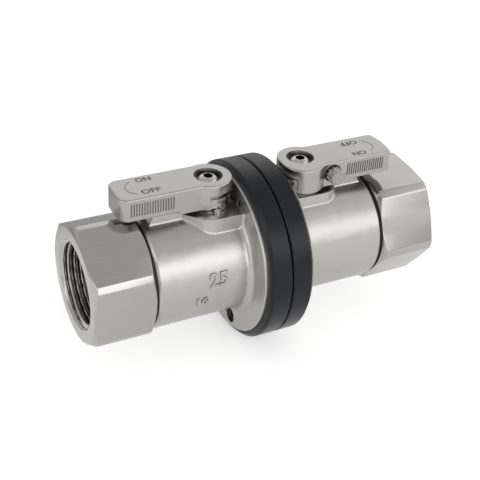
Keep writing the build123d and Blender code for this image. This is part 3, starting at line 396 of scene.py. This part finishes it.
# A connector is a profile of distance along the flow axis and radius, at each angle round that axis.
# The hexagon's radius is its flat's distance over the cosine of the angle from the flat's middle.
hex_flat, hex_corner, hex_face = 43.5 / 2, 48.6 / 2, 43.6 / 2
hex_turn = {"left": 93.0, "right": 126.0}
rear_slope = math.tan(math.radians(30.0))
mouth_slope = {"left": rear_slope, "right": math.tan(math.radians(14.0))}
hex_rear, connector_end = 47.9, 71.2
spigot_radius, spigot_end = 19.4, 29.37
seat_pocket, outer_shoulder, bore_radius = 16.55, 32.77, 12.5
thread_minor, thread_major, thread_pitch, thread_end = 15.145, 16.62, 2.309, 52.2
mouth_radius, mouth_depth, mouth_fall, lead_in_fall = 17.25, 0.8, 0.75, 1.6
thread_start, thread_runout, thread_rows = connector_end - 0.25, 1.5 * thread_pitch, 150
crest_share, straight_share = 0.12, 0.6
around_steps, least_fall, edge_softness = 360, 0.02, 0.18
thread_corner, thread_corners = 8, 2
for half, side in (("left", -1), ("right", 1)):
    turn = np.linspace(0, 2 * math.pi, around_steps, endpoint=False)
    facet = (np.degrees(turn) - hex_turn[half]) % 60 - 30
    outline = np.minimum(hex_flat / np.cos(np.radians(facet)), hex_corner)
    face_edge = np.minimum(hex_face, outline - least_fall)
    fall = outline - face_edge
    flat = np.ones_like(turn)
    corners = np.stack([
        np.stack([flat * spigot_end, flat * seat_pocket], -1),
        np.stack([flat * spigot_end, flat * spigot_radius], -1),
        np.stack([flat * hex_rear, flat * spigot_radius], -1),
        np.stack([flat * hex_rear, face_edge], -1),
        np.stack([hex_rear + fall * rear_slope, outline], -1),
        np.stack([connector_end - fall * mouth_slope[half], outline], -1),
        np.stack([flat * connector_end, face_edge], -1),
        np.stack([flat * connector_end, flat * mouth_radius], -1),
        np.stack([flat * (connector_end - mouth_radius + thread_minor), flat * thread_minor], -1),
        np.stack([flat * thread_end, flat * thread_minor], -1),
        np.stack([flat * (thread_end - thread_minor + bore_radius), flat * bore_radius], -1),
        np.stack([flat * outer_shoulder, flat * bore_radius], -1),
        np.stack([flat * outer_shoulder, flat * seat_pocket], -1),
    ], axis=1)
    soft = soften(corners, edge_softness)
    per_corner = soft.shape[1] // corners.shape[1]
    ahead = soft[:, :thread_corner * per_corner]
    behind = soft[:, (thread_corner + thread_corners) * per_corner:]
    # Thread: a 55 degree vee with rounded crest and root, wound right-handed about the flow axis. It
    # takes the place of the profile's two corners at the thread's minor radius.
    places = np.linspace(thread_start, thread_end, thread_rows)
    phase = (side * places[None, :] / thread_pitch - turn[:, None] / (2 * math.pi)) % 1
    vee = np.clip((np.abs(2 * phase - 1) - crest_share) / (1 - 2 * crest_share), 0, 1)
    vee = straight_share * vee + (1 - straight_share) * vee ** 2 * (3 - 2 * vee)
    fade = np.clip((places - thread_end) / thread_runout, 0, 1)
    depth = connector_end - places
    mouth = mouth_radius - mouth_fall * np.minimum(depth, mouth_depth)
    mouth -= lead_in_fall * np.maximum(depth - mouth_depth, 0)
    groove = np.maximum(thread_minor + (thread_major - thread_minor) * vee * fade, mouth)
    thread = np.stack([np.broadcast_to(places, groove.shape), groove], axis=-1)
    profile = np.concatenate([ahead, thread, behind], axis=1)
    grid = np.stack([
        side * profile[..., 0],
        profile[..., 1] * np.cos(turn)[:, None],
        profile[..., 1] * np.sin(turn)[:, None],
    ], axis=-1)
    piece = closed_sheet(f"{half}_hexagon", grid, milled_stainless)
    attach(piece, f"{half}_half")
    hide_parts(f"{half}_end_connector")

# Handles: lost-wax castings in 304 stainless, polished smoother than the bodies, with ribs cut in
# both long sides for grip and the two positions marked on top.
lever_stainless, tree, shader, spot = new_material("polished cast 304 stainless")
grain = add_node(tree, "ShaderNodeTexNoise", {"Scale": 1 / (0.25 * mm), "Detail": 2.0}, {"Vector": spot})
waves = add_node(tree, "ShaderNodeTexNoise", {"Scale": 1 / (5 * mm), "Detail": 1.5}, {"Vector": spot})
tint = add_node(tree, "ShaderNodeMix", data_type="RGBA", inputs={
    6: linear("#B3B2AF"), 7: linear("#BAB9B6"),
}, links={0: waves.outputs[0]})
gloss = add_node(tree, "ShaderNodeMapRange", {"To Min": 0.22, "To Max": 0.32}, {0: grain.outputs[0]})
rounded = add_node(tree, "ShaderNodeBevel", {"Radius": 0.12 * mm}, samples=4)
skin = add_node(tree, "ShaderNodeBump", {"Strength": 0.06, "Distance": 0.02 * mm}, {
    "Height": grain.outputs[0], "Normal": rounded.outputs[0],
})
shader.inputs["Metallic"].default_value = 1.0
tree.links.new(tint.outputs[2], shader.inputs["Base Color"])
tree.links.new(gloss.outputs[0], shader.inputs["Roughness"])
tree.links.new(skin.outputs[0], shader.inputs["Normal"])


def restained(material, name, colour):
    """Copy of a finish with another name and one plain colour."""
    copy = material.copy()
    copy.name = name
    copy.node_tree.nodes["Principled BSDF"].inputs["Base Color"].default_value = linear(colour)
    return copy


# Darker copy for the grooves between the handles' ribs: painted shade
rib_groove_painted_shade = restained(cast_walls_painted_shade, "304 stainless, painted shade in the rib grooves", "#9C9B98")
stem_distance, handle_top = 19.3, 35.0
grip_side_plain, grip_side_button, groove_least, groove_most = 7.0, 8.4, 0.03, 0.36
rib_start, rib_end, rib_bottom, rib_top = 16.2, 32.8, 28.2, 33.3
mark_floor, mark_above, mark_height, mark_thickening = -0.4, 0.5, 2.9, -0.015
# Each word: its middle's distance from the stem, its place across the handle and its width
marks = {"ON": (23.3, 5.4, 5.8), "OFF": (23.5, -2.9, 7.4)}
arc_radius, arc_middle, arc_across, arc_end = 4.46, 27.14, 0.8, math.radians(70)
arc_groove, arc_points, groove_points = 0.24, 24, 8
for half, side in (("left", -1), ("right", 1)):
    piece = finished_copy(f"{half}_handle", lever_stainless, f"{half}_lever")
    # The grooves between the ribs take a darker colour, painted shade that deepens them
    piece.data.materials.append(rib_groove_painted_shade)
    for face in piece.data.polygons:
        along, across, up = face.center / mm
        sunk = (grip_side_plain if across * side > 0 else grip_side_button) - abs(across)
        among_ribs = rib_start < abs(along) - stem_distance < rib_end and rib_bottom < up < rib_top
        if among_ribs and groove_least < sunk < groove_most:
            face.material_index = 1
    # Marks: ON, OFF and the arc of the turn between them, sunk in the casting
    points, faces = np.empty((0, 3)), []
    for word, (along, across, width) in marks.items():
        letters, letter_faces = solid_word(word, width, mark_height, mark_floor, mark_above, mark_thickening)
        faces += [[corner + len(points) for corner in face] for face in letter_faces]
        points = np.concatenate([points, letters + (-along, across, 0)])
    bend = np.linspace(-arc_end, arc_end, arc_points)[:, None]
    round_groove = np.linspace(0, 2 * math.pi, groove_points, endpoint=False)[None, :]
    reach = arc_radius + arc_groove * np.cos(round_groove)
    tube = np.stack([
        -arc_middle - reach * np.cos(bend),
        arc_across + reach * np.sin(bend),
        arc_groove * np.sin(round_groove) + 0 * bend,
    ], axis=-1)
    near = len(points) + np.arange(arc_points * groove_points).reshape(arc_points, groove_points)
    far = np.roll(near, -1, axis=1)
    faces += np.stack([near[:-1], near[1:], far[1:], far[:-1]], axis=-1).reshape(-1, 4).tolist()
    faces += [near[0].tolist(), near[-1][::-1].tolist()]
    points = np.concatenate([points, tube.reshape(-1, 3)])
    points = points * (-side, -side, 1) + (side * stem_distance, 0, handle_top)
    cutter_mesh = bpy.data.meshes.new("marks")
    cutter_mesh.from_pydata(points * mm, [], faces)
    cutter_mesh.materials.append(lever_stainless)
    cutter_mesh.materials.append(cast_walls_painted_shade)
    # The marks' walls take the darker finish: painted shade
    cutter_mesh.polygons.foreach_set("material_index", [int(is_wall(points, face)) for face in faces])
    shell = bmesh.new()
    shell.from_mesh(cutter_mesh)
    bmesh.ops.recalc_face_normals(shell, faces=shell.faces)
    shell.to_mesh(cutter_mesh)
    shell.free()
    cutter = bpy.data.objects.new("marks", cutter_mesh)
    bpy.context.scene.collection.objects.link(cutter)
    cut = piece.modifiers.new("marks", "BOOLEAN")
    cut.object, cut.operation, cut.solver, cut.material_mode = cutter, "DIFFERENCE", "EXACT", "TRANSFER"
    bpy.context.view_layer.update()
    marked = bpy.data.meshes.new_from_object(piece.evaluated_get(bpy.context.evaluated_depsgraph_get()))
    piece.modifiers.clear()
    bpy.data.objects.remove(cutter)
    piece.data = marked
    marked.shade_smooth()
    marked.set_sharp_from_angle(angle=math.radians(35))


def worked_steel(name, colour, least_rough, most_rough):
    """Finish of a small steel piece: one colour, and fine tool marks in its gloss and its skin."""
    steel, tree, shader, spot = new_material(name)
    fine = add_node(tree, "ShaderNodeTexNoise", {"Scale": 1 / (0.2 * mm), "Detail": 2.0}, {"Vector": spot})
    gloss = add_node(tree, "ShaderNodeMapRange", {
        "To Min": least_rough, "To Max": most_rough,
    }, {0: fine.outputs[0]})
    rounded = add_node(tree, "ShaderNodeBevel", {"Radius": 0.15 * mm}, samples=4)
    skin = add_node(tree, "ShaderNodeBump", {"Strength": 0.05, "Distance": 0.01 * mm}, {
        "Height": fine.outputs[0], "Normal": rounded.outputs[0],
    })
    shader.inputs["Metallic"].default_value = 1.0
    shader.inputs["Base Color"].default_value = linear(colour)
    tree.links.new(gloss.outputs[0], shader.inputs["Roughness"])
    tree.links.new(skin.outputs[0], shader.inputs["Normal"])
    return steel


# Turned pieces: stop pins, interlock discs, stems and interlock pins, and the pin that holds the lock
# button in. They are turned from 304 bar and left bright from the tool.
turned_stainless = worked_steel("turned 304 stainless", "#BAB9B6", 0.14, 0.22)
finish_both({
    "stop_pin": "half", "interlock_disc": "lever", "stem": "lever", "interlock_pin": "lock_pin",
}, turned_stainless)
finished_copy("button_retaining_pin", turned_stainless, "right_lever")

# Handle screws: bright button heads in A2 stainless, in the recesses of the hubs. Their hexagon
# sockets are coloured dark: painted shade for the depth of the sockets.
bright_stainless = worked_steel("bright A2 stainless", "#C9C8C5", 0.12, 0.20)
socket_painted_shade = restained(bright_stainless, "A2 stainless, painted socket shade", "#6E6D6A")
socket_radius, socket_top, socket_bottom = 1.95, 0.02, 4.0
for half, side in (("left", -1), ("right", 1)):
    screw = finished_copy(f"{half}_handle_screw", bright_stainless, f"{half}_lever")
    screw.data.materials.append(socket_painted_shade)
    crown = max(vertex.co.z for vertex in screw.data.vertices) / mm
    # Faces down in the hexagon socket take the dark copy: painted shade
    for face in screw.data.polygons:
        along, across, up = face.center / mm
        off_axis = math.hypot(along - side * stem_distance, across)
        if off_axis < socket_radius and socket_top < crown - up < socket_bottom:
            face.material_index = 1

# Lock button: a fluted A2 stainless button in the side of the right handle, ground on its end face
# and a little duller than the screws.
fluted_stainless = restained(bright_stainless, "A2 stainless, fluted and ground", "#ABAAA7")
finished_copy("lock_button", fluted_stainless, "push_button")

# Blackened pieces: the cap screws that hold the rings to the flanges, the dowels that place them, and
# the washers under the handle screws. Their near-black colour is painted shade for the counterbores and
# recesses they sit in, with a dull sheen.
recess_shade_black_steel = worked_steel("near-black steel, painted recess shade", "#2A2A2C", 0.32, 0.42)
finish_both({
    "ring_screws": "half", "ring_dowels": "half", "screw_washer": "lever",
}, recess_shade_black_steel)

# Balls: 304 stainless, lapped to a mirror so that the seats stay tight. They show through the ports
# once the valves are closed.
lapped_stainless = worked_steel("lapped 304 stainless", "#CFCECB", 0.04, 0.08)
finish_both({"ball": "lever"}, lapped_stainless)

# Springs: drawn 302 wire. The spring on each interlock pin sits between the clamp ring and the pin's
# collar, and one more sits behind the lock button. They keep the shape that the CAD model gives them.
spring_wire = worked_steel("drawn 302 spring wire", "#A9A8A5", 0.25, 0.35)
for half, side in (("left", -1), ("right", 1)):
    spring = finished_copy(f"{half}_pin_spring", spring_wire)
    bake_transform(spring)
spring = finished_copy("button_spring", spring_wire, "right_lever")
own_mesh(spring)


def clouded_polymer(name, colour, rough):
    """Finish of a turned or moulded polymer: one colour, faintly clouded in its gloss and its skin."""
    polymer, tree, shader, spot = new_material(name)
    cloud = add_node(tree, "ShaderNodeTexNoise", {"Scale": 1 / (1.2 * mm), "Detail": 3.0}, {"Vector": spot})
    gloss = add_node(tree, "ShaderNodeMapRange", {
        "To Min": rough - 0.06, "To Max": rough + 0.06,
    }, {0: cloud.outputs[0]})
    skin = add_node(tree, "ShaderNodeBump", {"Strength": 0.1, "Distance": 0.01 * mm}, {
        "Height": cloud.outputs[0],
    })
    shader.inputs["Base Color"].default_value = linear(colour)
    tree.links.new(gloss.outputs[0], shader.inputs["Roughness"])
    tree.links.new(skin.outputs[0], shader.inputs["Normal"])
    return polymer


# Seats and thrust washers: turned from white PTFE, waxy and slippery. The seats hold each ball on both
# sides, and the washer lies on the stem's collar.
turned_ptfe = clouded_polymer("turned PTFE", "#E9E8E3", 0.45)
finish_both({"inner_seat": "half", "outer_seat": "half", "thrust_washer": "lever"}, turned_ptfe)

# Seals: moulded black nitrile rubber. A ring fills the seam between each body and its hexagon, two sit
# in the grooves of each stem, and one lies round the nose inside the joint.
nitrile_rubber = clouded_polymer("moulded nitrile rubber", "#161617", 0.6)
finish_both({"connector_seal": "half", "stem_seals": "lever"}, nitrile_rubber)
finished_copy("coupling_seal", nitrile_rubber, "left_half")
